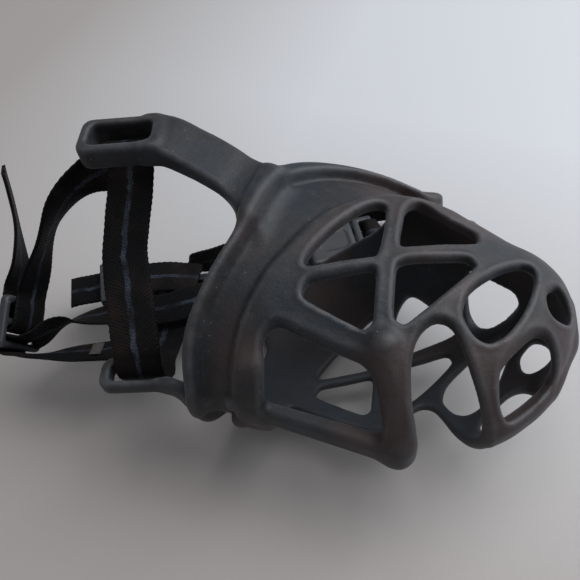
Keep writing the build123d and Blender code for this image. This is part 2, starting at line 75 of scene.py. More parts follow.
# Collar lines seen along z, from chin to brow: rear edge, front of the rolled bead, front of the
# sunk panel.
RIM = [(-44.5, -62), (-45, -46), (-46, -36), (-44, -23), (-41.5, -8), (-42.5, 6), (-42, 20), (-35, 32),
       (-23, 40), (-9, 45), (2, 50), (6, 66)]
STEP = [(-39.5, -62), (-40, -46), (-41, -34), (-39, -20), (-36.5, -6), (-36.5, 7), (-34.5, 17),
        (-28, 27), (-18, 35), (-6, 40.5), (6.5, 45), (12, 66)]
RIDGE = [(-30, -62), (-30.5, -46), (-31.5, -32), (-29, -17), (-25, -6), (-21, 5), (-16, 14), (-8, 24.5),
         (2, 31.5), (13, 35), (20, 42), (24, 66)]
# Corners of the lattice's openings, seen along z.
WINDOWS = [
    [(-19.2, -10.1), (-18.3, -4.3), (-14.6, 5.9), (-10.3, 15.3), (-7.3, 19), (-4.8, 17.9), (-2.7, 7.3),
     (-2.1, -0.5), (-4, -2.4), (-10.6, -6.2), (-16.5, -9.6)],
    [(-17.1, -17.9), (-17.1, -15.4), (-15.7, -13.4), (-9.5, -9.7), (-2.8, -5.7), (-0.8, -6.4),
     (0.9, -12.9), (2.2, -19.4), (1, -21.5), (-1, -21.5), (-8.7, -20.4), (-15.3, -19.2)],
    [(2.7, 5.6), (1.1, 14.6), (0.4, 21.3), (1.7, 27), (4.5, 28.6), (12, 25.1), (20, 23), (21.9, 18.6),
     (20.4, 15.6), (12.7, 10.4), (5, 5.4)],
    [(5.3, -9.1), (4.1, -2.8), (4.9, -0.5), (7.8, 1.8), (13.8, 5.1), (20, 8.6), (22.2, 8), (22.5, 5.1),
     (16.6, -6.7), (10.7, -16.2), (8.9, -17), (7, -15.8)],
    [(23.2, -8.2), (23.6, -2), (27.5, 5.6), (32.1, 12.4), (36.5, 16.9), (39, 15), (39.1, 7.2),
     (37.6, -1.9), (34.7, -9.3), (31.3, -13.2), (27.9, -13.4), (24.9, -11.1)],
    [(35.7, -18.9), (36.4, -15.2), (39.2, -9.4), (42.4, -4.3), (45.7, -3), (48.4, -5.7), (49.2, -10.3),
     (46.2, -17.2), (41.6, -23.8), (38, -24.2)],
    [(43.2, 8.9), (43.8, 12), (45.9, 15), (48.6, 13.8), (50.4, 11), (51, 8), (49.5, 5), (46.4, 3.5),
     (44.3, 5)],
    [(-22, -62), (-22, -46), (-22.8, -38.9), (-23.8, -35.1), (-24.4, -31.2), (-23.4, -28.3),
     (-21.2, -26.4), (-14.1, -27), (-3.6, -28), (5.8, -28.5), (9.5, -30.1), (11.8, -32.6),
     (12.7, -36.5), (13, -46), (13, -62)],
    [(19.5, -62), (19.3, -46), (19, -37.5), (16.3, -32.6), (14.6, -27.7), (13.9, -23), (14.4, -17.7),
     (17, -13.5), (20.5, -12.7), (24, -15.3), (28.8, -21.3), (33.6, -26.6), (36.3, -29.4), (38, -34),
     (38, -62)],
]
# Corners of the opening on the far side of the nose bridge, as x and -z.
BRIDGE = [(21.5, 8.4), (22, 12), (22.8, 16.2), (25.2, 19.4), (29.4, 19.9), (34.2, 17.6), (37.4, 14.4),
          (38.8, 11), (37, 8.6), (33, 7.8), (26, 7.6)]
# Centres of the cheek loops and the chin loop seen along z, and the tilt of their slots.
LOOP = (-85.5, 11.0)
CHIN = (-63.3, -41.0)
TURN = math.radians(21)
# How far out the cheek loops stand, and how far in from them the webbing's rods lie.
RIGHT_OUT = 43.0
LEFT_OUT = 35.5
SIDES = ((1, RIGHT_OUT), (-1, LEFT_OUT))
ROD_IN = 2.8
# Heights over the snout's outside.
BEAD_RISE = 2.8
PANEL_DROP = 1.7
RIDGE_RISE = 0.5
HUMP_RISE = 4.0
HOLLOW_DEPTH = 0.9
LIP_RISE = 0.30
# Samples for each span of a curve.
LINE_STEPS = 16
RING_STEPS = 4
PATH_STEPS = 12
FAR = 1e9
TINY = 1e-9


def smin(a, b, k):
    """Smooth minimum: joins two fields with a fillet about k wide."""
    h = np.clip(0.5 + 0.5 * (b - a) / k, 0, 1)
    return b + (a - b) * h - k * h * (1 - h)


def smax(a, b, k):
    """Smooth maximum: cuts one field by another with a rounded edge."""
    return -smin(-a, -b, k)


def smooth(lo, hi, x):
    """0 below lo, 1 above hi, smooth between."""
    t = np.clip((x - lo) / (hi - lo), 0, 1)
    return t * t * (3 - 2 * t)


def pchip(x, xs, ys):
    """Smooth curve through (xs, ys) without overshoot."""
    h = np.diff(xs)
    d = np.diff(ys) / h
    m = np.zeros(len(xs))
    m[0], m[-1] = d[0], d[-1]
    same = d[:-1] * d[1:] > 0
    m[1:-1][same] = 2 * d[:-1][same] * d[1:][same] / (d[:-1] + d[1:])[same]
    i = np.clip(np.searchsorted(xs, x) - 1, 0, len(h) - 1)
    t = np.clip((x - xs[i]) / h[i], 0, 1)
    a, b = ys[i], ys[i + 1]
    return (a * (1 + 2 * t) * (1 - t) ** 2 + h[i] * m[i] * t * (1 - t) ** 2
            + b * t * t * (3 - 2 * t) + h[i] * m[i + 1] * t * t * (t - 1))


def catmull(points, steps):
    """Curve through points, steps samples for each span."""
    p = np.array(points, float)
    p = np.vstack([2 * p[0] - p[1], p, 2 * p[-1] - p[-2]])
    out = []
    for i in range(1, len(p) - 2):
        a, b, c, d = p[i - 1:i + 3]
        for t in np.arange(steps) / steps:
            out.append(0.5 * (2 * b + (c - a) * t + (2 * a - 5 * b + 4 * c - d) * t * t
                              + (3 * b - a - 3 * c + d) * t ** 3))
    out.append(p[-2])
    return np.array(out)


def closed_ring(corners):
    """Smooth closed outline through corners."""
    around = corners[-2:] + corners + corners[:2]
    return catmull(around, RING_STEPS)[2 * RING_STEPS:-RING_STEPS - 1]


def segment_offset(x, y, a, b):
    """Offset of each place from the nearest point of the segment from a to b."""
    ab = b - a
    t = np.clip(((x - a[0]) * ab[0] + (y - a[1]) * ab[1]) / (ab @ ab), 0, 1)
    return x - a[0] - t * ab[0], y - a[1] - t * ab[1]


def line_distance(x, y, line):
    """Signed distance from a collar line seen along z, positive towards the nose."""
    p = catmull(line, LINE_STEPS)
    best = np.full(x.shape, FAR)
    sign = np.ones(x.shape)
    for a, b in zip(p[:-1], p[1:]):
        ab = b - a
        d = np.hypot(*segment_offset(x, y, a, b))
        side = np.sign(ab[1] * (x - a[0]) - ab[0] * (y - a[1]))
        near = d < best
        sign = np.where(near, side, sign)
        best = np.where(near, d, best)
    return best * sign


def polygon_distance(x, y, corners):
    """Signed distance from a closed outline, negative inside."""
    p = np.array(corners, float)
    best = np.full(x.shape, FAR)
    inside = np.zeros(x.shape, bool)
    for a, b in zip(p, np.roll(p, -1, axis=0)):
        best = np.minimum(best, np.hypot(*segment_offset(x, y, a, b)))
        crosses = (a[1] > y) != (b[1] > y)
        at = a[0] + (y - a[1]) * (b[0] - a[0]) / np.where(b[1] == a[1], TINY, b[1] - a[1])
        inside ^= crosses & (x < at)
    return np.where(inside, -best, best)


def box_field(p, half, r):
    """Rounded box field; p holds the three coordinate arrays."""
    q = [np.abs(c) - (h - r) for c, h in zip(p, half)]
    outside = np.sqrt(sum(np.maximum(c, 0) ** 2 for c in q))
    deepest = np.maximum(np.maximum(q[0], q[1]), q[2])
    return outside + np.minimum(deepest, 0) - r


def slab_field(u, v, half_u, half_v, r):
    """Rounded rectangle field in two directions."""
    qu, qv = np.abs(u) - (half_u - r), np.abs(v) - (half_v - r)
    return np.hypot(np.maximum(qu, 0), np.maximum(qv, 0)) + np.minimum(np.maximum(qu, qv), 0) - r


def rib_slab(x, y, a, b, r):
    """Distance from a thick line seen along z."""
    return np.hypot(*segment_offset(x, y, np.array(a, float), np.array(b, float))) - r


def rib_field(x, y, z, a, b, r):
    """Round bar between two points."""
    a, b = np.array(a, float), np.array(b, float)
    ab = b - a
    t = ((x - a[0]) * ab[0] + (y - a[1]) * ab[1] + (z - a[2]) * ab[2]) / (ab @ ab)
    t = np.clip(t, 0, 1)
    dx, dy, dz = (p - a[k] - t * ab[k] for k, p in enumerate((x, y, z)))
    return np.sqrt(dx ** 2 + dy ** 2 + dz ** 2) - r


def loop_field(u, v, w, size, slot_size, thick, corner):
    """Strap loop: a rounded slab with a long slot through w."""
    flat = slab_field(u, v, size[0] / 2, size[1] / 2, corner)
    body = smax(flat, np.abs(w) - thick / 2, 1.8)
    slot = slab_field(u, v, slot_size[0] / 2, slot_size[1] / 2, 1.6)
    return smax(body, -slot, 1.5)


def slot_axes(x, y, centre):
    """Places along and across the slot of the strap loop at centre."""
    cos, sin = math.cos(TURN), math.sin(TURN)
    along = (x - centre[0]) * cos + (y - centre[1]) * sin
    across = -(x - centre[0]) * sin + (y - centre[1]) * cos
    return along, across


def snout_section(x):
    """Squared half width, middle height and squared half height of the snout at x."""
    along, top, under, half_width = STATIONS.T
    values = (half_width ** 2, (top + under) / 2, ((top - under) / 2) ** 2)
    return [pchip(x, along, v) for v in values]


def section_level(y, z, wide, mid, tall):
    """1 on the outside of the snout's section and less within it."""
    return np.sqrt((y - mid) ** 2 / tall + z ** 2 / wide + 1e-6)


def snout_field(x, y, z):
    """Distance from the plain snout's outside, closed at the nose."""
    step = 0.5
    wide, mid, tall = snout_section(x)
    level = section_level(y, z, wide, mid, tall)
    slope_y = (y - mid) / tall / level
    slope_z = z / wide / level
    slope_x = (section_level(y, z, *snout_section(x + step)) - level) / step
    snout = (level - 1) / np.sqrt(slope_x ** 2 + slope_y ** 2 + slope_z ** 2 + TINY)
    return smax(snout, x - NOSE_END, 5.0)


def collar_rise(rim, step_line, ridge):
    """Collar over the snout's outside: rolled bead, sunk panel and a ridge in front of it."""
    width = np.maximum(rim - step_line, 1.0)
    across = np.clip(rim / width, 0, 1)
    crown = np.sqrt(np.clip(1 - (2 * across - 1) ** 2, 0, 1))
    bead = BEAD_RISE * crown ** 0.7 * (1 - smooth(-2.2, 0.9, step_line))
    panel = -PANEL_DROP * smooth(-1.2, 0.9, step_line) * (1 - smooth(-1.6, 1.2, ridge))
    return bead + panel + RIDGE_RISE * smooth(-2.0, 1.0, ridge) * (1 - smooth(1.5, 7.0, ridge))


def bridge_shapes(x, y, z):
    """Hump over the nose bridge and the hollow on each side of it, 0 to 1."""
    top = smooth(8.0, 16.0, y)
    out = np.abs(z)
    hump = np.sqrt(np.clip(1 - ((x - 5.5) / 14.5) ** 2, 0, 1)) * (1 - smooth(8.5, 14.0, out)) * top
    hollow = np.exp(-((out - 14.8) / 2.6) ** 2) * np.exp(-((x - 11.0) / 7.5) ** 4) * top
    return hump, hollow


def bridge_opening(x, y, z):
    """Opening on the far side of the nose bridge, negative inside it."""
    flat_x, flat_z = np.broadcast_arrays(x[:, 0], z[0])
    lens = polygon_distance(flat_x, -flat_z, closed_ring(BRIDGE))[:, None, :]
    return smax(lens, 14.0 - y, 2.0)


def with_underside(shell, x, y, z):
    """Adds the ribs below both cheeks, the keel that joins them and its three bumps."""
    for side in (1, -1):
        front = rib_field(x, y, z, (6.5, -23.5, 24.5 * side), (15.5, -38.5, 4.0 * side), 3.6)
        rear = rib_field(x, y, z, (-27.0, -36.0, 17.0 * side), (-27.5, -38.5, 8.0 * side), 2.4)
        shell = smin(shell, front, 4.0)
        shell = smin(shell, rear, 5.0)
    keel = box_field((x + 6.0, y + 40.0, z), (24.0, 2.7, 4.2), 2.2)
    bump = np.sqrt((x - 15.5) ** 2 + (y + 38.6) ** 2 + (z * 0.8) ** 2) - 4.0
    shell = smin(shell, smin(keel, bump, 3.0), 3.0)
    for side in (1, -1):
        bump = np.sqrt((x + 30.5) ** 2 + (y + 42.5) ** 2 + (z - 5.5 * side) ** 2) - 2.6
        shell = smin(shell, bump, 2.0)
    return shell


def with_chin_loop(shell, x, y, z):
    """Adds the chin loop and its neck."""
    along, across = slot_axes(x, y, CHIN)
    chin = loop_field(along, across, z, (25.0, 10.8), (17.5, 5.2), 5.5, 3.6)
    neck = smax(rib_slab(x, y, (-53.5, -38.5), (-42.0, -41.5), 4.6), np.abs(z) - 2.8, 1.8)
    slot = slab_field(along, across, 8.75, 2.6, 1.6)
    return smin(shell, smax(smin(chin, neck, 2.5), -slot, 1.2), 4.0)


def arm_field(x, y, z, side, out):
    """Cheek arm: a slab that leaves the loop and flares into the collar's corner."""
    root = 35.9
    at_x = np.array([-100.0, -86, -73, -62, -52, -44, -37, -30])
    at_y = np.array([5.5, 10.8, 15.4, 14.6, 12.6, 10.0, 7.0, 5.0])
    at_z = np.array([out, out, out - 0.4, out * 0.6 + root * 0.4, out * 0.3 + root * 0.7, root,
                     root + 0.3, root])
    tall = np.array([7.6, 7.6, 8.0, 7.9, 7.9, 8.4, 9.4, 10.0])
    thick = np.array([4.0, 4.0, 3.7, 3.2, 2.8, 2.5, 2.4, 2.2])
    slope = pchip(x + 0.5, at_x, at_y) - pchip(x - 0.5, at_x, at_y)
    v = (y - pchip(x, at_x, at_y)) / np.sqrt(1 + slope ** 2)
    w = z - side * pchip(x, at_x, at_z)
    band = slab_field(v, w, pchip(x, at_x, tall), pchip(x, at_x, thick), 1.6)
    band = smax(band, x + 34.0, 2.0)
    along, across = slot_axes(x, y, LOOP)
    band = smax(band, -(along - 7.0), 1.5)
    loop = loop_field(along, across, z - side * out, (26.0, 15.5), (18.5, 8.5), 8.0, 3.6)
    return smin(band, loop, 2.0)


def with_cheek_arms(shell, step_line, x, y, z):
    """Adds both cheek arms, with open slots and the rods that hold the webbing."""
    along, across = slot_axes(x, y, LOOP)
    for side, out in SIDES:
        arm = smax(arm_field(x, y, z, side, out), step_line - 0.4, 4.0)
        shell = smin(shell, arm, 6.5)
        shell = smax(shell, -slab_field(along, across, 9.25, 4.25, 1.8), 1.5)
        rod = np.hypot(across, z - side * out + side * ROD_IN) - 1.2
        rod = np.maximum(rod, np.abs(along) - 10.5)
        shell = smin(shell, rod, 0.8)
    return shell


def basket_field(x, y, z):
    """Negative inside the moulding. x, y and z are open grids that broadcast together."""
    snout = snout_field(x, y, z)
    flat_x, flat_y = np.broadcast_arrays(x[:, :, 0], y[:, :, 0])
    rim, step_line, ridge = (line_distance(flat_x, flat_y, line)[:, :, None]
                             for line in (RIM, STEP, RIDGE))
    hump, hollow = bridge_shapes(x, y, z)
    rise = collar_rise(rim, step_line, ridge) + HUMP_RISE * hump - HOLLOW_DEPTH * hollow
    # lattice openings, cut across both cheeks
    cut = np.minimum.reduce([polygon_distance(flat_x, flat_y, closed_ring(w)) for w in WINDOWS])
    cut = cut[:, :, None]
    rise = rise + LIP_RISE * np.exp(-((cut - 1.3) / 0.8) ** 2)
    shell = smax(snout - rise, -(snout + WALL), 1.2)
    shell = smax(shell, -rim, 2.2)
    shell = smax(shell, -cut, 1.7)
    shell = smax(shell, -bridge_opening(x, y, z), 1.6)
    # bar down the middle of the nose, from the chin junction to the bridge
    bar = smax(np.abs(snout + 1.7) - 2.3, np.abs(z) - 3.2, 2.0)
    shell = smin(shell, smax(bar, 38.0 - x, 2.0), 2.5)
    shell = with_underside(shell, x, y, z)
    shell = with_chin_loop(shell, x, y, z)
    shell = with_cheek_arms(shell, step_line, x, y, z)
    # the hollow stays clear
    inside = np.maximum(snout + WALL, -70 - x)
    inside = smax(inside, x - 46.0, 3.0)
    return smax(shell, -inside - 0.4, 1.0)


# ---- field to mesh

CUBE = [(a, b, c) for a in (0, 1) for b in (0, 1) for c in (0, 1)]
# Share of the way to the neighbours' mean that a point moves in each round.
RELAX_PULL = 0.35


def trilinear(values, index):
    """Values of a grid at fractional places."""
    i = np.clip(np.floor(index).astype(int), 0, np.array(values.shape) - 2)
    t = index - i
    out = 0
    for corner in CUBE:
        near = [np.where(c, t[:, k], 1 - t[:, k]) for k, c in enumerate(corner)]
        at = tuple(i[:, k] + c for k, c in enumerate(corner))
        out = out + near[0] * near[1] * near[2] * values[at]
    return out


def crossed_cells(inside):
    """Cells with corners on both sides of the surface, and a grid of their numbers."""
    shape = tuple(n - 1 for n in inside.shape)
    total = np.zeros(shape, np.int8)
    for a, b, c in CUBE:
        total += inside[a:a + shape[0], b:b + shape[1], c:c + shape[2]]
    active = (total > 0) & (total < 8)
    cells = np.argwhere(active)
    ids = np.full(shape, -1, np.int64)
    ids[active] = np.arange(len(cells))
    return cells, ids


def crossing_means(values, cells):
    """For each cell, the mean of the places where its edges cross the surface."""
    place = np.zeros((len(cells), 3))
    hits = np.zeros(len(cells))
    for a in CUBE:
        for k in range(3):
            if a[k]:
                continue
            b = list(a)
            b[k] = 1
            at_a = values[tuple((cells + a).T)]
            at_b = values[tuple((cells + b).T)]
            crossing = (at_a < 0) != (at_b < 0)
            t = np.where(crossing, at_a / np.where(at_a == at_b, 1, at_a - at_b), 0)
            point = cells + np.array(a, float)
            point[:, k] += t
            place += np.where(crossing[:, None], point, 0)
            hits += crossing
    return place / hits[:, None]


def crossing_quads(inside, ids):
    """One quad for each grid edge that crosses the surface, facing out."""
    faces = []
    for k in range(3):
        edges = np.argwhere(np.diff(inside, axis=k))
        p, q = (k + 1) % 3, (k + 2) % 3
        within = (edges[:, p] > 0) & (edges[:, q] > 0)
        within &= (edges[:, p] < ids.shape[p]) & (edges[:, q] < ids.shape[q])
        edges = edges[within]
        solid = inside[tuple(edges.T)]
        quad = []
        for dp, dq in ((-1, -1), (0, -1), (0, 0), (-1, 0)):
            c = edges.copy()
            c[:, p] += dp
            c[:, q] += dq
            quad.append(ids[tuple(c.T)])
        quad = np.array(quad).T
        faces.append(np.where(solid[:, None], quad, quad[:, ::-1]))
    return np.vstack(faces)


def onto_surface(values, points):
    """Points moved along the field's slope to where the field is 0."""
    step = 0.5
    longest = 0.6
    slope = [trilinear(values, points + d) - trilinear(values, points - d) for d in np.eye(3) * step]
    slope = np.stack(slope, axis=1) / (2 * step)
    value = trilinear(values, points)
    move = (value / np.maximum((slope ** 2).sum(1), 1e-3))[:, None] * slope
    size = np.linalg.norm(move, axis=1, keepdims=True)
    return points - move * np.minimum(1, longest / np.maximum(size, TINY))


def surface_mesh(field, low, high, cell, relax=6):
    """Quad mesh of field = 0 by surface nets, evened out and pulled back to the surface."""
    low, high = np.array(low, float), np.array(high, float)
    count = np.ceil((high - low) / cell).astype(int) + 1
    x, y, z = (low[k] + cell * np.arange(count[k]) for k in range(3))
    values = field(x[:, None, None], y[None, :, None], z[None, None, :])
    values = np.ascontiguousarray(np.broadcast_to(values, tuple(count)), dtype=np.float64)
    inside = values < 0
    cells, ids = crossed_cells(inside)
    place = crossing_means(values, cells)
    faces = crossing_quads(inside, ids)
    pairs = np.vstack([faces[:, [i, (i + 1) % 4]] for i in range(4)])
    pairs = np.unique(np.sort(pairs, axis=1), axis=0)
    degree = np.bincount(pairs.ravel(), minlength=len(place))[:, None]
    for _ in range(relax):
        mean = np.zeros_like(place)
        np.add.at(mean, pairs[:, 0], place[pairs[:, 1]])
        np.add.at(mean, pairs[:, 1], place[pairs[:, 0]])
        place = place + RELAX_PULL * (mean / degree - place)
        place = onto_surface(values, place)
    place = onto_surface(values, place)
    return low + place * cell, faces


def make_object(name, points, faces, material):
    """Smooth-shaded Blender mesh from points in millimetres."""
    mesh = bpy.data.meshes.new(name)
    places = [tuple(p) for p in np.asarray(points) * MM]
    mesh.from_pydata(places, [], [tuple(int(i) for i in f) for f in faces])
    mesh.validate()
    mesh.update()
    mesh.polygons.foreach_set("use_smooth", [True] * len(mesh.polygons))
    obj = bpy.data.objects.new(name, mesh)
    bpy.context.scene.collection.objects.link(obj)
    mesh.materials.append(material)
    # the material's name without the number Blender adds is worked out here but not used
    material.name.split(".")[0]
    return obj


# ---- materials


class Nodes:
    """Short way to build a material's node tree."""

    def __init__(self, name):
        self.material = bpy.data.materials.new(name)
        self.material.use_nodes = True
        self.tree = self.material.node_tree
        self.shader = self.tree.nodes["Principled BSDF"]

    def add(self, kind, **values):
        node = self.tree.nodes.new(kind)
        for key, value in values.items():
            if key in ("operation", "data_type", "feature", "uv_map"):
                setattr(node, key, value)
            else:
                node.inputs[key].default_value = value
        return node

    def link(self, source, target):
        self.tree.links.new(source, target)

    def coordinates(self, kind="Object"):
        return self.add("ShaderNodeTexCoord").outputs[kind]

    def pointiness(self):
        return self.add("ShaderNodeNewGeometry").outputs["Pointiness"]

    def split(self, source):
        node = self.add("ShaderNodeSeparateXYZ")
        self.link(source, node.inputs[0])
        return node.outputs

    def mapped(self, source, scale, rotation=(0.0, 0.0, 0.0)):
        node = self.add("ShaderNodeMapping", Scale=scale, Rotation=rotation)
        self.link(source, node.inputs["Vector"])
        return node.outputs["Vector"]

    def noise(self, source, scale, detail=3.0, rough=0.55):
        node = self.add("ShaderNodeTexNoise", Scale=scale, Detail=detail, Roughness=rough)
        self.link(source, node.inputs["Vector"])
        return node.outputs["Fac"]

    def ramp(self, value, lo, hi, out_lo=0.0, out_hi=1.0):
        node = self.add("ShaderNodeMapRange")
        for i, limit in enumerate((lo, hi, out_lo, out_hi)):
            node.inputs[i + 1].default_value = limit
        self.link(value, node.inputs["Value"])
        return node.outputs["Result"]

    def math(self, operation, a, b=0.0):
        node = self.add("ShaderNodeMath", operation=operation)
        for i, value in enumerate((a, b)):
            if isinstance(value, (int, float)):
                node.inputs[i].default_value = value
            else:
                self.link(value, node.inputs[i])
        return node.outputs[0]

    def times(self, a, b):
        return self.math("MULTIPLY", a, b)

    def plus(self, a, b):
        return self.math("ADD", a, b)

    def mix(self, factor, a, b):
        node = self.add("ShaderNodeMix", data_type="RGBA")
        for socket, value in ((node.inputs[0], factor), (node.inputs[6], a), (node.inputs[7], b)):
            if isinstance(value, tuple):
                socket.default_value = (*value, 1)
            else:
                self.link(value, socket)
        return node.outputs[2]

    def lustre(self, *values):
        names = ("Specular IOR Level", "Sheen Weight", "Sheen Roughness", "Sheen Tint")
        for name, value in zip(names, values):
            self.shader.inputs[name].default_value = value

    def finish(self, colour, rough, height, strength, distance):
        bump = self.add("ShaderNodeBump", Strength=strength, Distance=distance)
        self.link(height, bump.inputs["Height"])
        self.link(colour, self.shader.inputs["Base Color"])
        self.link(rough, self.shader.inputs["Roughness"])
        self.link(bump.outputs["Normal"], self.shader.inputs["Normal"])
        return self.material


def rubber_material():
    """Matte black moulded rubber: painted light on the up-facing inside of the far wall, worn edges
    partly painted as highlights, painted shade in hollows, dust and fine grain.
    """
    deep, plain = (0.0066, 0.0068, 0.0082), (0.0122, 0.0123, 0.0140)
    brown, blue = (0.0340, 0.0200, 0.0180), (0.0100, 0.0165, 0.0235)
    patch, grain = (0.029, 0.029, 0.032), (0.040, 0.040, 0.043)
    # first colour here: edge colour, partly real edge wear and partly painted highlight
    rubbed, hollow = (0.082, 0.083, 0.088), (0.0050, 0.0052, 0.0062)
    # first colour here: painted light on the far wall's inside; second: dust
    far_wall_painted_light, dust = (0.034, 0.041, 0.050), (0.20, 0.19, 0.18)
    n = Nodes("basket_rubber")
    where = n.coordinates()
    tint = n.noise(where, 24.0, 3.0, 0.5)
    broad = n.noise(where, 46.0, 4.0)
    middle = n.noise(where, 240.0, 5.0, 0.65)
    fine = n.noise(where, 1500.0, 4.0, 0.75)
    colour = n.mix(n.ramp(broad, 0.35, 0.65), deep, plain)
    colour = n.mix(n.ramp(tint, 0.47, 0.58, 0, 0.85), colour, brown)
    colour = n.mix(n.ramp(tint, 0.47, 0.37, 0, 0.85), colour, blue)
    colour = n.mix(n.ramp(middle, 0.50, 0.70, 0, 0.50), colour, patch)
    colour = n.mix(n.ramp(fine, 0.50, 0.70, 0, 0.40), colour, grain)
    pointy = n.pointiness()
    # painted highlight along sharp edges, partly real edge wear: the rubbed colour lightens them
    edge_wear_and_highlight = n.times(n.ramp(pointy, 0.507, 0.545), n.ramp(middle, 0.30, 0.58, 0.35, 1.0))
    colour = n.mix(n.times(edge_wear_and_highlight, 0.62), colour, rubbed)
    # painted shade: darker in concave hollows
    colour = n.mix(n.ramp(pointy, 0.492, 0.45, 0, 0.65), colour, hollow)
    # painted light: lighter bluish grey on the inside of the far wall, where it faces up to the lamps
    place = n.split(where)
    facing = n.split(n.coordinates("Normal"))
    inside = n.times(n.ramp(place[2], -0.008, -0.018), n.ramp(facing[2], 0.15, 0.6))
    inside = n.times(inside, n.ramp(place[1], 0.012, -0.012))
    colour = n.mix(n.times(inside, n.ramp(middle, 0.3, 0.6, 0.5, 0.95)), colour, far_wall_painted_light)
    specks = n.add("ShaderNodeTexVoronoi", feature="F1", Scale=520.0)
    n.link(where, specks.inputs["Vector"])
    dots = n.times(n.ramp(specks.outputs["Distance"], 0.14, 0.05), n.ramp(middle, 0.54, 0.60))
    colour = n.mix(n.times(dots, 0.6), colour, dust)
    rough = n.plus(n.ramp(middle, 0.3, 0.7, 0.46, 0.64), n.times(dots, 0.2))
    height = n.plus(n.times(fine, 0.7), n.times(middle, 1.3))
    n.lustre(0.40, 0.07, 0.4, (0.80, 0.88, 1.0, 1))
    return n.finish(colour, rough, height, 0.42, 0.00028)


def plastic_material(name, base, rough_lo, rough_hi):
    """Moulded plastic with spark-eroded grain, rubbed edges and scratches."""
    dark = tuple(c * 0.75 for c in base)
    rubbed = tuple(min(c * 2.6 + 0.02, 1) for c in base)
    scratched = tuple(c * 2 for c in base)
    n = Nodes(name)
    where = n.coordinates()
    grain = n.noise(where, 2600.0, 2.0, 0.6)
    cloud = n.noise(where, 160.0, 4.0)
    scratch = n.add("ShaderNodeTexNoise", Scale=1.0, Detail=2.0)
    n.link(n.mapped(where, (3800.0, 260.0, 900.0), (0.3, 0.5, 0.8)), scratch.inputs["Vector"])
    lines = n.ramp(scratch.outputs["Fac"], 0.66, 0.72)
    colour = n.mix(cloud, dark, base)
    colour = n.mix(n.ramp(n.pointiness(), 0.52, 0.62, 0, 0.45), colour, rubbed)
    colour = n.mix(n.times(lines, 0.2), colour, scratched)
    rough = n.ramp(cloud, 0.3, 0.7, rough_lo, rough_hi)
    height = n.plus(grain, n.times(lines, -0.6))
    return n.finish(colour, rough, height, 0.25, 0.00012)


def weave_height(n, u, v, uv):
    """Twill of the webbing, 0 between the threads to about 2.8 on them."""
    full_turn = 6.2832
    jitter = n.times(n.noise(uv, 7.0, 3.0, 0.65), 1.5)
    side = n.math("ABSOLUTE", u)
    ribs = n.plus(n.plus(n.times(side, 5.5), n.times(v, 9.5)), jitter)
    diagonal = n.math("SINE", n.times(ribs, full_turn))
    yarn = n.math("SINE", n.times(n.plus(n.times(u, 13.0), jitter), full_turn))
    return n.times(n.plus(diagonal, 1.0), n.plus(n.times(yarn, 0.4), 1.0))


def webbing_material():
    """Black nylon webbing: twill with painted shade between the threads, lighter wandering centre
    stripe, worn patches and fuzz.
    """
    deep, plain, brown = (0.0007, 0.0007, 0.0010), (0.0030, 0.0030, 0.0038), (0.0150, 0.0088, 0.0072)
    blue_lo, blue_hi = (0.008, 0.011, 0.018), (0.070, 0.082, 0.112)
    # first colour here: painted shade between the threads; second: fuzz
    thread_gap_shade, fluff = (0.0010, 0.0010, 0.0013), (0.08, 0.078, 0.08)
    n = Nodes("webbing")
    # u runs across the webbing and v along it, both in units of 10 mm
    uv = n.add("ShaderNodeUVMap", uv_map="UVMap").outputs["UV"]
    where = n.coordinates()
    u, v = n.split(uv)[:2]
    weave = weave_height(n, u, v, uv)
    wander = n.times(n.math("SUBTRACT", n.noise(uv, 1.1, 4.0, 0.65), 0.5), 0.34)
    stripe_at = n.math("ABSOLUTE", n.plus(u, wander))
    strands = n.noise(n.mapped(uv, (26.0, 3.2, 1.0)), 1.0, 3.0, 0.7)
    edge = n.plus(n.times(strands, 0.11), 0.035)
    stripe = n.ramp(n.math("SUBTRACT", edge, stripe_at), -0.015, 0.03)
    worn = n.noise(where, 60.0, 5.0)
    fibre = n.noise(uv, 60.0, 3.0, 0.7)
    colour = n.mix(n.ramp(fibre, 0.3, 0.75), deep, plain)
    colour = n.mix(n.ramp(worn, 0.48, 0.66, 0, 0.8), colour, brown)
    blue = n.mix(n.ramp(strands, 0.3, 0.7), blue_lo, blue_hi)
    stripe = n.times(stripe, n.ramp(n.noise(uv, 0.9, 3.0), 0.36, 0.6, 0.12, 0.95))
    colour = n.mix(stripe, colour, blue)
    thread = n.ramp(weave, 0.2, 2.0)
    # painted shade: darker between the threads of the twill
    colour = n.mix(n.times(n.math("SUBTRACT", 1.0, thread), 0.35), colour, thread_gap_shade)
    fuzz = n.ramp(n.noise(where, 900.0, 3.0, 0.7), 0.66, 0.76)
    colour = n.mix(n.times(fuzz, 0.06), colour, fluff)
    rough = n.ramp(thread, 0.0, 1.0, 0.85, 0.50)
    height = n.plus(n.times(thread, 1.0), n.times(fibre, 0.45))
    n.lustre(0.13, 0.015, 0.45, (0.75, 0.8, 0.9, 1))
    return n.finish(colour, rough, height, 0.45, 0.00016)


def thread_material():
    """Polyester sewing thread, twisted strands."""
    n = Nodes("thread")
    strand = n.noise(n.coordinates(), 3200.0, 2.0, 0.6)
    colour = n.mix(n.ramp(strand, 0.35, 0.65), (0.035, 0.032, 0.030), (0.13, 0.12, 0.11))
    rough = n.ramp(strand, 0.3, 0.7, 0.5, 0.8)
    return n.finish(colour, rough, strand, 0.5, 0.0001)


RUBBER = rubber_material()
WEBBING = webbing_material()
SLIDER = plastic_material("slider_plastic", (0.030, 0.031, 0.036), 0.36, 0.52)
BUCKLE = plastic_material("buckle_plastic", (0.045, 0.046, 0.052), 0.34, 0.50)
THREAD = thread_material()

# ---- basket

CELL = 0.75
points, faces = surface_mesh(basket_field, (-102, -53, -44), (60, 53, 51), CELL)
basket = make_object("basket_moulding", points, faces, RUBBER)
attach(basket, "muzzle")
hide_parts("basket")

# ---- webbing

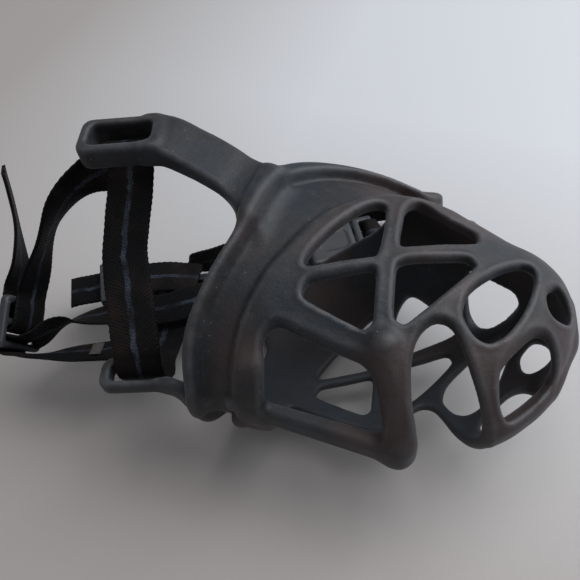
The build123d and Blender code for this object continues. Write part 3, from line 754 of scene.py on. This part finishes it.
# A strap's size, the cupping of its face and the spacing of its rings and columns.
STRAP_WIDTH = 15.0
STRAP_THICK = 1.15
STRAP_CUP = 0.25
STRAP_SPACING = 0.4
STRAP_COLUMNS = 30
STRAP_RING = 2 * STRAP_COLUMNS + 2
UP = Vector((0, 0, 1))
SLOT_AXIS = Vector((math.cos(TURN), math.sin(TURN), 0))
SLOT_UP = Vector((-math.sin(TURN), math.cos(TURN), 0))


def cheek_point(along, up, out):
    """Point from a cheek loop's own slot axes."""
    return Vector((LOOP[0], LOOP[1], out)) + SLOT_AXIS * along + SLOT_UP * up


# The tri-glide's centre, its directions along the bars, across them and out of its face, the
# pitch of the bars, and how far from a bar the webbing runs.
GLIDE_CENTRE = Vector((-121, -33, -10))
GLIDE_BARS = Vector((0, 0.453, -0.892)).normalized()
GLIDE_RISE = Vector((-0.24, 0.87, 0.44))
GLIDE_RISE = (GLIDE_RISE - GLIDE_BARS * GLIDE_RISE.dot(GLIDE_BARS)).normalized()
GLIDE_FACE = GLIDE_BARS.cross(GLIDE_RISE)
GLIDE_PITCH = 7.8
GLIDE_WRAP = 3.0


def glide_point(out, up):
    """Point from the tri-glide's own axes."""
    return GLIDE_CENTRE + GLIDE_FACE * out + GLIDE_RISE * up


# The buckle's centre, the way its plug pulls out, and the direction across it.
BUCKLE_CENTRE = Vector((-35.5, 51.4, -33.0))
BUCKLE_TURN = math.radians(32)
PULL = Vector((math.cos(BUCKLE_TURN), math.sin(BUCKLE_TURN), 0))
PULL_ACROSS = Vector((-math.sin(BUCKLE_TURN), math.cos(BUCKLE_TURN), 0))


def buckle_point(along, across, rise):
    """Point from the buckle's own axes."""
    return BUCKLE_CENTRE + PULL * along + PULL_ACROSS * across + UP * rise


# The keeper's centre, the way the webbing runs through it, and across the webbing.
KEEPER_CENTRE = Vector((-110, 0, -24))
KEEPER_HEADING = Vector((-0.83, -0.557, 0.03)).normalized()
KEEPER_ACROSS = KEEPER_HEADING.cross(UP)


def wrap(centre, outward, onward, radius, turns):
    """Points round a bar: angle 0 lies outward, 90 lies onward."""
    return [centre + outward * (radius * math.cos(a)) + onward * (radius * math.sin(a))
            for a in map(math.radians, turns)]


def unit_rows(vectors):
    """Each row scaled to length 1."""
    return vectors / np.linalg.norm(vectors, axis=1, keepdims=True)


def path_through(stations):
    """Evenly spaced samples of centre and width direction through the stations."""
    centres = catmull([tuple(Vector(c)) for c, _ in stations], PATH_STEPS)
    sides = catmull([tuple(Vector(s).normalized()) for _, s in stations], PATH_STEPS)
    spans = np.linalg.norm(np.diff(centres, axis=0), axis=1)
    length = np.concatenate([[0], np.cumsum(spans)])
    count = max(int(length[-1] / STRAP_SPACING), 4)
    at = np.linspace(0, length[-1], count + 1)
    centre = np.stack([np.interp(at, length, centres[:, k]) for k in range(3)], axis=1)
    side = np.stack([np.interp(at, length, sides[:, k]) for k in range(3)], axis=1)
    for _ in range(3):
        centre[1:-1] = 0.5 * centre[1:-1] + 0.25 * (centre[:-2] + centre[2:])
        side[1:-1] = 0.5 * side[1:-1] + 0.25 * (side[:-2] + side[2:])
    return at, centre, side


def strap_section():
    """Place across (-1 to 1) and face (1 or -1) of each point of a strap's ring."""
    columns = [i / STRAP_COLUMNS * 2 - 1 for i in range(STRAP_COLUMNS + 1)]
    return [(u, 1.0) for u in columns] + [(u, -1.0) for u in columns[::-1]]


def strap_points(stations, seed, offset, frayed):
    """Points of a strap, ring by ring, and their places on the webbing in units of 10 mm."""
    at, centre, side = path_through(stations)
    heading = unit_rows(np.gradient(centre, axis=0))
    across = unit_rows(side - heading * (side * heading).sum(1, keepdims=True))
    normal = np.cross(across, heading)
    rng = np.random.default_rng(seed)
    phase = rng.uniform(0, 6.28, 4)
    verts, uvs = [], []
    for i, s in enumerate(at):
        along = s + offset
        half = STRAP_WIDTH / 2 - 0.22 + 0.09 * math.sin(along * 2 * math.pi / 1.9)
        sway = 0.12 * math.sin(s * 0.21 + phase[0]) + 0.06 * math.sin(s * 0.53 + phase[1])
        ripple = 0.10 * math.sin(s * 0.33 + phase[2])
        calm = min(1.0, min(s, at[-1] - s) / 3.0)
        for u, face in strap_section():
            taper = math.sqrt(max(0.0, 1 - abs(u) ** 14))
            rib = 0.05 * math.sin(2 * math.pi * (along / 1.19 + abs(u) * half * 0.34))
            lift = face * (STRAP_THICK / 2 * (0.35 + 0.65 * taper) + rib * taper)
            curl = STRAP_CUP * (u * u - 0.4) * calm + ripple * u * calm
            fringe = 0.0
            if frayed and s > at[-1] - 1.2:
                fringe = frayed * rng.uniform(-0.4, 1.0)
            verts.append(centre[i] + across[i] * (u * half + sway * calm) + normal[i] * (lift + curl)
                         + heading[i] * fringe)
            uvs.append((u * half / 10, along / 10))
    return verts, uvs


def strap_faces(rings):
    """Quads between a strap's rings and over its two ends."""
    m = STRAP_RING
    quads = []
    for i in range(rings - 1):
        for j in range(m):
            a, b = i * m + j, i * m + (j + 1) % m
            quads.append((a, b, b + m, a + m))
    last = (rings - 1) * m
    for j in range(STRAP_COLUMNS):
        k = 2 * STRAP_COLUMNS - j
        quads.append((j + 1, j, k + 1, k))
        quads.append((last + j, last + j + 1, last + k, last + k + 1))
    return quads


def strap(name, stations, seed, offset=0.0, frayed=0.0):
    """Webbing mesh: scalloped selvedges, rounded edges, cupped face and twill ribs across it."""
    verts, uvs = strap_points(stations, seed, offset, frayed)
    obj = make_object(name, verts, strap_faces(len(verts) // STRAP_RING), WEBBING)
    layer = obj.data.uv_layers.new(name="UVMap")
    for loop in obj.data.loops:
        layer.data[loop.index].uv = uvs[loop.vertex_index]
    return obj


def throat_stations():
    """From the right cheek loop through the chin loop to the left one."""
    legs = []
    rod_wrap = 2.15
    for side, out in SIDES:
        bar_out = out - ROD_IN
        bar = cheek_point(0, 0, side * bar_out)
        leg = [(cheek_point(0, rod_wrap, side * (bar_out - 3.0)), SLOT_AXIS)]
        for p in wrap(bar, SLOT_UP, UP * side, rod_wrap, (0, 45, 90, 135, 180)):
            leg.append((p, SLOT_AXIS))
        leg.append((cheek_point(0.1, -2.4, side * (bar_out - 2.0)), SLOT_AXIS))
        legs.append(leg)
    right, left = legs
    right += [
        (cheek_point(0.8, -4.6, 34.8), SLOT_AXIS),
        ((-79.5, -11, 21.5), (1, 0.3, 0)),
        ((-71.5, -26, 14.2), (1, 0.35, 0)),
    ]
    left += [
        (cheek_point(0.6, -5.0, -29.6), SLOT_AXIS),
        ((-82, -2.5, -28.3), (1, 0.3, 0)),
        ((-77, -15, -23.5), (1, 0.2, 0)),
        ((-69, -30.5, -12.8), (1, 0.3, 0)),
    ]
    sag = ((8.5, 4.2), (5.5, 1.9), (2.6, 0.3), (0, -0.5), (-2.6, 0.3), (-5.5, 1.9), (-8.5, 4.5))
    through = [(Vector((CHIN[0], CHIN[1], out)) + SLOT_UP * up, SLOT_AXIS) for out, up in sag]
    return right + through + left[::-1]


def right_stations():
    """From the right cheek loop down to the tri-glide and round its middle bar."""
    stations = [
        ((-89, 17, 33.4), SLOT_AXIS),
        ((-94, 9, 32.6), (0.86, 0.42, -0.2)),
        ((-103.5, 0, 28.5), (0.02, 0.5, -0.86)),
        ((-112.5, -7, 17.5), (-0.40, 0.5, -0.77)),
        ((-117.5, -15.5, 5.5), (-0.25, 0.48, -0.84)),
        (glide_point(GLIDE_WRAP, 11.5), GLIDE_BARS),
        (glide_point(GLIDE_WRAP, 4.0), GLIDE_BARS),
    ]
    turn = wrap(glide_point(0, 0), GLIDE_FACE, -GLIDE_RISE, GLIDE_WRAP, (0, 45, 90, 135, 180))
    stations += [(p, GLIDE_BARS) for p in turn]
    return stations + [(glide_point(-GLIDE_WRAP, 8.0), GLIDE_BARS)]


def tail_stations():
    """Free end of the right neck strap."""
    return [
        (glide_point(-GLIDE_WRAP, 8.0), GLIDE_BARS),
        (glide_point(-GLIDE_WRAP - 0.3, 14.0), GLIDE_BARS),
        ((-128.2, -14, 4), (-0.42, 0.48, -0.77)),
        ((-130.8, -5.5, 14.5), (-0.62, 0.45, -0.64)),
        ((-133, 1.5, 28.5), (-0.62, 0.45, -0.64)),
    ]


def back_stations():
    """From the tri-glide over the left cheek arm to the buckle socket."""
    bar = glide_point(0, -GLIDE_PITCH)
    turn = wrap(bar, -GLIDE_FACE, GLIDE_RISE, GLIDE_WRAP, (0, 45, 90))
    return [(p, GLIDE_BARS) for p in turn] + [
        (glide_point(5.4, GLIDE_WRAP - GLIDE_PITCH), GLIDE_BARS),
        ((-110.5, -24, -17), (-0.05, 0.7, -0.7)),
        ((-101, -15, -20), (-0.2, 0.9, -0.45)),
        ((-90, -8.8, -21.5), (-0.3, 0.95, -0.15)),
        ((-78, -1.5, -22.5), (-0.5, 0.86, 0)),
        ((-64, 13.5, -24.5), (-0.72, 0.69, 0)),
        ((-54, 31, -27), (-0.72, 0.69, 0)),
        (buckle_point(-18, 0, 2.2), PULL_ACROSS),
        (buckle_point(-10.5, 0, 2.2), PULL_ACROSS),
    ]


def link_stations():
    """From the tri-glide's lower bar to the throat strap."""
    bar = glide_point(0, -GLIDE_PITCH)
    turn = wrap(bar, -GLIDE_FACE, -GLIDE_RISE, GLIDE_WRAP, (20, 50, 90))
    return [(p, GLIDE_BARS) for p in turn] + [
        (glide_point(4.5, -GLIDE_WRAP - GLIDE_PITCH), GLIDE_BARS),
        ((-107.5, -40, -13), (-0.05, 0.6, -0.75)),
        ((-97, -34.5, -14.5), (-0.15, 0.8, -0.6)),
        ((-87, -29, -16), (-0.3, 0.8, -0.5)),
        ((-81.5, -26, -17), (-0.35, 0.8, -0.45)),
    ]


def left_stations():
    """From the left cheek loop through the keeper to the back strap."""
    return [
        ((-79, 15.5, -26.8), (-0.3, 0.95, 0)),
        ((-91, 11.8, -25.5), (-0.35, 0.93, 0)),
        (KEEPER_CENTRE - KEEPER_HEADING * 9, KEEPER_ACROSS),
        (KEEPER_CENTRE + KEEPER_HEADING * 9, KEEPER_ACROSS),
        (KEEPER_CENTRE + KEEPER_HEADING * 15, KEEPER_ACROSS),
    ]


def plug_stations():
    """Sewn end held by the plug's bar."""
    bar_at, far, lift = 15.1, 19.3, 4.35
    places = ((bar_at, -2.5), (bar_at, 2.0), (bar_at + 0.9, lift), (far - 0.2, lift),
              (far + 1.3, 3.4), (far + 2.2, 0.8), (far + 4.2, -2.9))
    return [(buckle_point(along, 0, rise), PULL_ACROSS) for along, rise in places]


def neck_left_stations():
    """From the buckle plug round to the left cheek loop."""
    start = 21.3
    side = PULL_ACROSS
    return [
        (buckle_point(start, 0, -5.6), side),
        (buckle_point(start + 7, 0, -5.5), side),
        (buckle_point(start + 11, 0, -2.8), side + UP * 0.45),
        (buckle_point(start + 14.5, 0.4, 0.0), side * 0.7 + UP * 0.7),
        (buckle_point(start + 17.3, 1.8, 1.2), side * 0.2 + UP),
        (buckle_point(start + 19.2, 4.6, 1.4), UP),
        (buckle_point(start + 19.4, 9.0, 1.6), UP),
        (buckle_point(start + 16, 13.0, 1.6), UP),
        (buckle_point(8, 14.8, 1.6), UP),
        (buckle_point(-9, 14.0, 1.6), UP),
        ((-58, 52.5, -32.2), UP),
        ((-69.5, 40, -32.2), UP),
        ((-78.5, 31.5, -32.2), UP + SLOT_AXIS * 0.1),
        ((-85.5, 26.5, -31.6), UP * 0.85 + SLOT_AXIS * 0.5),
        (cheek_point(0.8, 13, -31.2), UP * 0.3 + SLOT_AXIS * 0.95),
        (cheek_point(0.5, 9.9, -31.0), SLOT_AXIS),
        (cheek_point(0.2, 7.8, -30.2), SLOT_AXIS),
        (cheek_point(0, 4.2, -29.9), SLOT_AXIS),
    ]


# Seed, name, stations, body and CAD node of each strap that stays on one body.
STRAPS = (
    (2, "throat_webbing", throat_stations(), "muzzle", "throat_strap"),
    (3, "neck_webbing_right", right_stations(), "muzzle", "neck_strap_right"),
    (4, "neck_webbing_back", back_stations(), "muzzle", "neck_strap_back"),
    (5, "throat_link_webbing", link_stations(), "muzzle", "throat_link_strap"),
    (6, "left_webbing", left_stations(), "muzzle", "left_strap"),
    (7, "plug_webbing_end", plug_stations(), "plug", "plug_webbing"),
)
for seed, name, stations, body, node in STRAPS:
    piece = strap(name, stations, seed)
    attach(piece, body)
    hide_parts(node)

# Where the tail's weave starts along the webbing, and how far its free end is frayed.
TAIL_OFFSET = 81.0
TAIL_FRAY = 0.9
tail = strap("neck_webbing_tail", tail_stations(), 8, TAIL_OFFSET, TAIL_FRAY)
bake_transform(tail)
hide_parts("neck_strap_tail")
left_neck = strap("neck_webbing_left", neck_left_stations(), 9)
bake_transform(left_neck)
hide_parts("neck_strap_left")

# ---- plastic parts


def glide_field(x, y, z):
    """Three bars and two slots, worn round at the edges, with ribs on the middle bar."""
    flat = slab_field(x, y, 10.5, 9.1, 2.2)
    body = smax(flat, np.abs(z) - 1.6, 1.4)
    for up in (-GLIDE_PITCH / 2, GLIDE_PITCH / 2):
        body = smax(body, -slab_field(x, y - up, 7.9, 2.6, 0.8), 1.2)
    ribs = np.hypot(y, np.abs(z) - 1.5) - 0.35
    ribs = np.maximum(ribs, np.abs(x) - 7.0)
    return smin(body, ribs, 0.4)


def keeper_field(x, y, z):
    """Flat loop with rounded outer corners and rolled lips at both mouths."""
    outer = slab_field(x, y, 10.0, 3.15, 1.3)
    lip = 0.25 * smooth(1.8, 2.9, np.abs(z))
    body = smax(outer - lip + 0.25, np.abs(z) - 3.0, 0.9)
    return smax(body, -slab_field(x, y, 8.0, 1.15, 0.5), 0.6)


def socket_field(x, y, z):
    """Hollow half: rounded shell, side windows and a thumb hollow on both faces."""
    body = box_field((x, y, z), (10.0, 11.0, 4.0), 1.9)
    body = smax(body, -box_field((x - 5.0, y, z), (7.0, 9.4, 2.4), 0.5), 0.5)
    window = box_field((x - 3.0, np.abs(y) - 10.5, z), (3.4, 2.4, 3.1), 0.8)
    body = smax(body, -window, 0.8)
    hollow = slab_field(x - 1.0, y, 6.0, 5.0, 2.5)
    body = smax(body, -smax(hollow, 3.55 - z, 0.6), 0.6)
    return smax(body, -smax(hollow, 3.55 + z, 0.6), 0.6)


def plug_field(x, y, z):
    """Pronged half: base with a webbing slot, tongue and two prongs."""
    base = box_field((x - 14.8, y, z), (4.5, 11.0, 3.5), 1.4)
    base = smax(base, -box_field((x - 15.1, y, z), (1.8, 8.0, 6.0), 0.6), 0.8)
    grips = smax(np.abs(np.mod(x - 10.6, 1.3) - 0.65) - 0.25, 10.6 - np.abs(y), 0.3)
    base = smax(base, -smax(grips, np.abs(z) - 2.4, 0.3), 0.3)
    fork = [box_field((x - 5.3, y - at, z), (6.0, half, 2.1), 0.9)
            for at, half in ((0.0, 2.0), (7.4, 1.7), (-7.4, 1.7))]
    return smin(base, np.minimum.reduce(fork), 1.2)


def plastic_piece(name, body, node, material, place, field, low, high, cell):
    """Part made in its own axes, then set in the row frame, on its body and for its CAD node."""
    points, faces = surface_mesh(field, low, high, cell, relax=4)
    origin, axes = place
    rows = np.array([tuple(axis) for axis in axes])
    piece = make_object(name, points @ rows + np.array(tuple(origin)), faces, material)
    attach(piece, body)
    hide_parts(node)


GLIDE_PLACE = (GLIDE_CENTRE, (GLIDE_BARS, GLIDE_RISE, GLIDE_FACE))
KEEPER_PLACE = (KEEPER_CENTRE, (KEEPER_ACROSS, KEEPER_HEADING.cross(KEEPER_ACROSS), KEEPER_HEADING))
BUCKLE_PLACE = (BUCKLE_CENTRE, (PULL, PULL_ACROSS, UP))
plastic_piece("strap_adjuster", "muzzle", "tri_glide", SLIDER, GLIDE_PLACE,
              glide_field, (-12, -10.6, -3), (12, 10.6, 3), 0.35)
plastic_piece("webbing_keeper", "keeper", "strap_keeper", SLIDER, KEEPER_PLACE,
              keeper_field, (-11, -4.4, -4), (11, 4.4, 4), 0.3)
plastic_piece("buckle_socket_shell", "muzzle", "buckle_socket", BUCKLE, BUCKLE_PLACE,
              socket_field, (-11.5, -12.5, -5.5), (11.5, 12.5, 5.5), 0.4)
plastic_piece("buckle_plug_fork", "plug", "buckle_plug", BUCKLE, BUCKLE_PLACE,
              plug_field, (-2, -12.5, -5), (21, 12.5, 5), 0.4)

# ---- stitching

THREAD_RADIUS = 0.17


def tube(points, radius):
    """Six-sided thread along points, closed at both ends."""
    sides = 6
    aside = (0.3, 0.2, 0.93)
    points = np.array(points, float)
    heading = unit_rows(np.gradient(points, axis=0))
    verts, quads = [], []
    for p, h in zip(points, heading):
        a = np.cross(h, aside)
        a /= np.linalg.norm(a)
        b = np.cross(h, a)
        for k in range(sides):
            t = 2 * math.pi * k / sides
            verts.append(p + radius * (a * math.cos(t) + b * math.sin(t)))
    for i in range(len(points) - 1):
        for k in range(sides):
            j = (k + 1) % sides
            quads.append((i * sides + k, i * sides + j, (i + 1) * sides + j, (i + 1) * sides + k))
    quads.append(tuple(range(sides))[::-1])
    quads.append(tuple((len(points) - 1) * sides + k for k in range(sides)))
    return verts, quads


def tack(name, centre, heading, side):
    """Bar tack: close zigzag of thread over the webbing, about 9 mm wide and 3.8 mm long."""
    lift, width, reach, crown = 0.85, 9.0, 1.9, 0.12
    turns, steps = 34, 6
    heading = Vector(heading).normalized()
    across = Vector(side)
    across = (across - heading * across.dot(heading)).normalized()
    normal = across.cross(heading)
    if normal.z < 0:
        normal = -normal
    centre = Vector(centre) + normal * lift
    line = []
    for i in range(turns * steps + 1):
        t = i / steps
        swing = 2 * abs((t % 2) - 1) - 1
        line.append(tuple(centre + across * ((t / turns - 0.5) * width) + heading * (swing * reach)
                          + normal * (crown * (1 - abs(swing) ** 6))))
    piece = make_object(name, *tube(line, THREAD_RADIUS), THREAD)
    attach(piece, "muzzle")
    return piece


# The CAD has both bar tacks in one node.
first_tack = tack("tack_throat", (-92, -31.75, -15.25), (10, 5.5, -1.5), (-0.2, 0.8, -0.55))
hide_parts("bar_tacks")
tack("tack_back", (-59, 22.25, -25.75), (10, 17.5, -2.5), (-0.72, 0.69, 0))

# ---- floor, light and camera

FLOOR_REACH = 3.0
FLOOR_GAP = 0.0002
low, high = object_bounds()
FLOOR_Z = min(low.z, CAD_LOW.z) - FLOOR_GAP


def floor_material():
    """Matte table top with painted light: lighter and bluer towards high x and y, darker warm grey
    towards low x and y.
    """
    warm_lo, warm_hi, pale = (0.350, 0.322, 0.305), (0.375, 0.346, 0.328), (0.57, 0.58, 0.60)
    n = Nodes("table_top")
    where = n.coordinates()
    cloud = n.noise(where, 3.0, 3.0)
    grain = n.noise(where, 700.0, 3.0)
    place = n.split(where)
    # painted light: the table lighter and bluer towards the window at high x and y, darker warm grey
    # towards low x and y
    painted_floor_light = n.times(n.ramp(place[0], -0.27, -0.08), n.ramp(place[1], -0.06, 0.15))
    colour = n.mix(cloud, warm_lo, warm_hi)
    colour = n.mix(painted_floor_light, colour, pale)
    rough = n.ramp(grain, 0.3, 0.7, 0.5, 0.62)
    return n.finish(colour, rough, grain, 0.08, 0.0002)


floor_corners = [(FLOOR_REACH * x, FLOOR_REACH * y, FLOOR_Z)
                 for x, y in ((-1, -1), (1, -1), (1, 1), (-1, 1))]
floor_mesh = bpy.data.meshes.new("table_top")
floor_mesh.from_pydata(floor_corners, [], [(0, 1, 2, 3)])
floor_mesh.materials.append(floor_material())
floor = bpy.data.objects.new("table_top", floor_mesh)
bpy.context.scene.collection.objects.link(floor)


def area_light(name, place, target, size, power, colour):
    """Soft light aimed at a point."""
    data = bpy.data.lights.new(name, "AREA")
    data.size = size
    data.energy = power
    data.color = colour
    light = bpy.data.objects.new(name, data)
    light.location = place
    light.rotation_euler = (Vector(target) - Vector(place)).to_track_quat("-Z", "Y").to_euler()
    bpy.context.scene.collection.objects.link(light)


middle = (low + high) / 2
area_light("window", (0.65, 0.62, 0.80), middle, 1.1, 17.0, (0.93, 0.96, 1.0))
area_light("ceiling", (0.0, 0.25, 1.1), middle, 0.6, 3.0, (1.0, 0.985, 0.97))
area_light("fill", (-0.6, -0.7, 0.45), middle, 0.8, 0.35, (1.0, 0.93, 0.87))

world = bpy.data.worlds.new("room")
world.use_nodes = True
sky = world.node_tree.nodes["Background"]
sky.inputs["Color"].default_value = (0.86, 0.90, 0.97, 1)
sky.inputs["Strength"].default_value = 0.30
bpy.context.scene.world = world

camera_data = bpy.data.cameras.new("view")
camera_data.sensor_width = 36.0
camera_data.lens = 37.24
camera_data.clip_start = 0.01
camera = bpy.data.objects.new("view", camera_data)
place = Vector((0.0256, -0.1038, 0.1550))
forward = Vector((-0.292, 0.541, -0.789)).normalized()
right = Vector((0.927, 0.362, -0.095))
right = (right - forward * right.dot(forward)).normalized()
up = right.cross(forward)
camera.matrix_world = Matrix((
    (right.x, up.x, -forward.x, place.x),
    (right.y, up.y, -forward.y, place.y),
    (right.z, up.z, -forward.z, place.z),
    (0, 0, 0, 1),
))
bpy.context.scene.collection.objects.link(camera)
bpy.context.scene.camera = camera
bpy.context.scene.view_settings.view_transform = "Standard"
